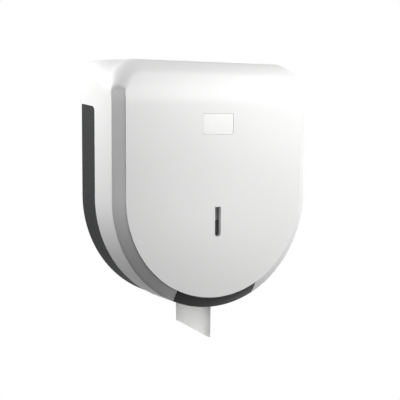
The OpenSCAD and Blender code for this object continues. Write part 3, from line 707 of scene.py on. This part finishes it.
# What is cut away: the badge's recess, the room for the rim of the housing and for its arms and
# mouth, the window's slot, the lock's and the screws' holes, and the cutter's place in the band.
past = 3                                 # how far these cuts run behind the wall plane
underneath = -175                        # and how low they start
rim_room_d, rim_room_z, rim_rise, rim_corner = 47.8, 131.8, 5, 7
rim_climb = rim_rise * (past + wall_gap) / (rim_room_d - wall_gap)
swing_half, swing_room_d, swing_room_top = 82, 49.5, -112
mouth_half, mouth_back, cutter_back = 59, 46.4, 98.9
badge_w, badge_top, badge_h, badge_sunk, badge_corner = 51, 118, 30, 1.2, 2

recess = block("badge_recess", (-badge_w / 2, -cover_d - 2, badge_top - badge_h),
    (badge_w / 2, badge_sunk - cover_d, badge_top))
ease_edges(recess, "y", lambda x, y, z: z < badge_top - badge_h + 0.01, badge_corner, 1)
rim_room = block("rim_room", (-half_w - 10, -rim_room_d, underneath),
    (half_w + 10, past, rim_room_z - rim_rise))
for v in rim_room.data.vertices:
    if v.co.z > 0 and v.co.y > 0:
        v.co.z = (rim_room_z + rim_climb) * MM
ease_edges(rim_room, "x", lambda x, y, z: z > 0 and y < 0, rim_corner, 6)
swing_room = block("swing_room", (-swing_half, -swing_room_d, underneath), (swing_half, past, swing_room_top))
# the mouth runs on into the cutter's place, so that no skin is left where the two cuts meet
mouth = block("mouth", (-mouth_half, -cutter_back - 1, underneath), (mouth_half, -mouth_back, hinge_z))
for tool in (recess, rim_room, swing_room, mouth, slot_block("slot", slot_w, slot_top, slot_low, 104, 116),
        rod("lock_hole", 0, lock_d, 0, lock_body_r, "z", (184, 196)),
        rod("lock_face_hole", 0, lock_d, 0, lock_face_r, "z", (lock_seat, 196)),
        rod("pin_hole", 0, hinge_d, hinge_z, pin_bore_r, "x", (-70, 70))):
    combine(cover, tool, "DIFFERENCE")
for side, z in lens_screws.items():
    combine(cover, rod(side + "_hole", 0, 0, z, pilot_r, "y", (104.5, 110.5), 24), "DIFFERENCE")
for x in (-cutter_screw_x, cutter_screw_x):
    combine(cover, rod("cutter_hole", x, 0, cutter_screw_z, pilot_r, "y", (101.5, 110.5), 24), "DIFFERENCE")

notch_r, cutter_half, cutter_half_angle, notch_half_angle, set_gap = 145.8, 66.19, 27, 28, 0.2
notch_out, notch_front = 170, 119
notch_section = [(notch_r, cutter_back), (notch_out, cutter_back), (notch_out, notch_front),
    (notch_r, notch_front)]
notch = close_ends(turned("notch", notch_section, 0, steps=56, start_angle=270 - notch_half_angle,
    sweep=2 * notch_half_angle))


# What lies between two upright planes, at the cutter's two ends.
def trim_ends(piece, half):
    return combine(piece, block("between", (-half, -125, -175), (half, -90, -100)), "INTERSECT")


combine(cover, trim_ends(notch, cutter_half + set_gap), "DIFFERENCE")
bpy.context.view_layer.objects.active = cover
cover.select_set(True)
bpy.ops.object.shade_smooth_by_angle(angle=math.radians(28))

cover_plastic = surface_material("white_satin_abs", (0.84, 0.84, 0.835), 0.4, drift=0.006, drift_size=9.0,
    spread=0.07, pit_size=900.0, ripple_size=70.0, ripple=0.6, grain_strength=0.02, grain_depth=0.0001)
cover.data.materials.append(cover_plastic)
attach(cover, "cover")
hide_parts("cover")

# --- Cutter ---------------------------------------------------------------
# A dark polished moulding with saw teeth, set into the band at the bottom and held by two screws
# from inside. Its front is crowned and its lower edge is rounded.
cutter_plastic = surface_material("polished_smoke_abs", (0.022, 0.0225, 0.024), 0.2, drift=0.05, spread=0.06,
    pit_size=800.0, ripple_size=120.0, ripple=1.0, grain_strength=0.02, grain_depth=0.0001,
    specular_ior_level=0.2)
crown_r, crown_d, crown_back = 146.5, 113.85, 101
crown_w, crown_fall, crown_bulge = 13.6, 9.95, 3
section = [(146.0, 107.0), (146.0, 113.5), (146.15, 113.8), (crown_r, crown_d)]
section += [(crown_r + crown_w * f, crown_d - crown_fall * f + crown_bulge * f * (1 - f))
    for f in (0.15, 0.3, 0.45, 0.6, 0.75, 0.9)]
section += [(160.8, 103.75), (161.5, 102.9), (161.9, 102.0), (161.95, 101.4), (161.7, crown_back),
    (158, crown_back)]
blade = close_ends(turned("cutter_blade", section, 0, steps=84, start_angle=270 - notch_half_angle,
    sweep=2 * notch_half_angle))
trim_ends(blade, cutter_half)

# the teeth, and the strip that they stand on
teeth_n, valley_r, teeth_h, teeth_back, teeth_front, strip_w = 48, 160.4, 1.9, 99.5, 101.1, 8
pitch_deg = 2 * cutter_half_angle / teeth_n
tooth_line = []
for i in range(teeth_n + 1):
    a = 270 - cutter_half_angle + i * pitch_deg
    tooth_line.append((valley_r, a))
    if i < teeth_n:
        tooth_line += [(valley_r + teeth_h, a + pitch_deg * 0.47), (valley_r + teeth_h, a + pitch_deg * 0.53)]
tooth_line += [(valley_r - strip_w, 270 + cutter_half_angle - i * 2) for i in range(cutter_half_angle + 1)]
mesh = bmesh.new()
face = mesh.faces.new([mesh.verts.new(Vector((r * math.cos(math.radians(a)), -teeth_back,
    r * math.sin(math.radians(a)))) * MM) for r, a in tooth_line])
grown = bmesh.ops.extrude_face_region(mesh, geom=[face])["geom"]
bmesh.ops.translate(mesh, vec=(0, (teeth_back - teeth_front) * MM, 0),
    verts=[v for v in grown if isinstance(v, bmesh.types.BMVert)])
bmesh.ops.recalc_face_normals(mesh, faces=mesh.faces[:])
teeth = bpy.data.objects.new("teeth", bpy.data.meshes.new("teeth"))
mesh.to_mesh(teeth.data)
mesh.free()
scene.collection.objects.link(teeth)
combine(blade, trim_ends(teeth, cutter_half - 0.02), "UNION")

# two lugs that reach up behind the face to the screws
lug_half, lug_l, lug_back, lug_front = 5.5, 25, 101.5, 104
for x in (-cutter_screw_x, cutter_screw_x):
    combine(blade, block("lug", (x - lug_half, -lug_front, cutter_screw_z - lug_l),
        (x + lug_half, -lug_back, cutter_screw_z)), "UNION")
    combine(blade, rod("lug_end", x, 0, cutter_screw_z, lug_half, "y", (lug_back, lug_front)), "UNION")
    combine(blade, rod("lug_hole", x, 0, cutter_screw_z, pilot_r, "y", (99.75, 105.75), 24), "DIFFERENCE")
bpy.context.view_layer.objects.active = blade
blade.select_set(True)
bpy.ops.object.shade_smooth_by_angle(angle=math.radians(30))
blade.data.materials.append(cutter_plastic)
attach(blade, "cover")
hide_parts("cutter")
dress("cutter_screws", screw_steel)

# --- Level window ---------------------------------------------------------
# A lightly smoked clear lens behind the slot, through which the paper shows. A grey nylon frame
# holds it, and two screws hold the frame to the cover's bosses.
lens, tree, shader, coords = new_material("smoked_lens", rough=0.06, transmission_weight=1.0, ior=1.49)
toned = use_group(tree, tone, place=coords, colour=(0.88, 0.885, 0.89, 1), size=60.0, drift=0.03)
tree.links.new(toned["Colour"], shader.inputs["Base Color"])
marked = use_group(tree, marks, place=coords, rough=0.06, spread=0.04, size=90.0)
tree.links.new(marked["Rough"], shader.inputs["Roughness"])
dress("level_lens", lens)
dress("lens_frame", nylon)
dress("lens_screws", screw_steel)

# --- Badge ----------------------------------------------------------------
# A blank white plate, a little glossier than the cover, pressed into the shallow recess of the face.
# Its long front edges are eased.
badge_gap, badge_front, badge_back = 0.45, cover_d - 0.25, cover_d - badge_sunk + 0.02
badge_low = badge_top - badge_h + badge_gap
badge = block("blank_badge", (badge_gap - badge_w / 2, -badge_front, badge_low),
    (badge_w / 2 - badge_gap, -badge_back, badge_top - badge_gap))
ease_edges(badge, "y", lambda x, y, z: z < badge_low + 0.01, badge_corner, 1)
ease_edges(badge, "x", lambda x, y, z: y < 0.05 - badge_front, 0.35, 2)
badge.data.materials.append(surface_material("badge_abs", (0.84, 0.84, 0.83), 0.26, drift=0.006, spread=0.05,
    pit_size=900.0, grain_strength=0.02, grain_depth=0.0001))
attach(badge, "cover")
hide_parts("badge_plate")

# --- Lock -----------------------------------------------------------------
# A nickel-plated cam lock in the top: a housing with its nut and washer, a barrel with a slot for
# the key, and a steel cam held by one screw.
nickel = surface_material("nickel_plate", (0.75, 0.74, 0.72), 0.2, metallic=1.0, drift=0.03, drift_size=150.0,
    spread=0.15, mark_size=300.0, pit_size=2500.0, ripple=0.6, grain_strength=0.05, grain_depth=0.00006)
for node in ("lock_housing", "lock_barrel"):
    dress(node, nickel)
for node in ("lock_washer", "lock_nut", "cam_screw"):
    dress(node, screw_steel)
dress("lock_cam", sheet_steel)
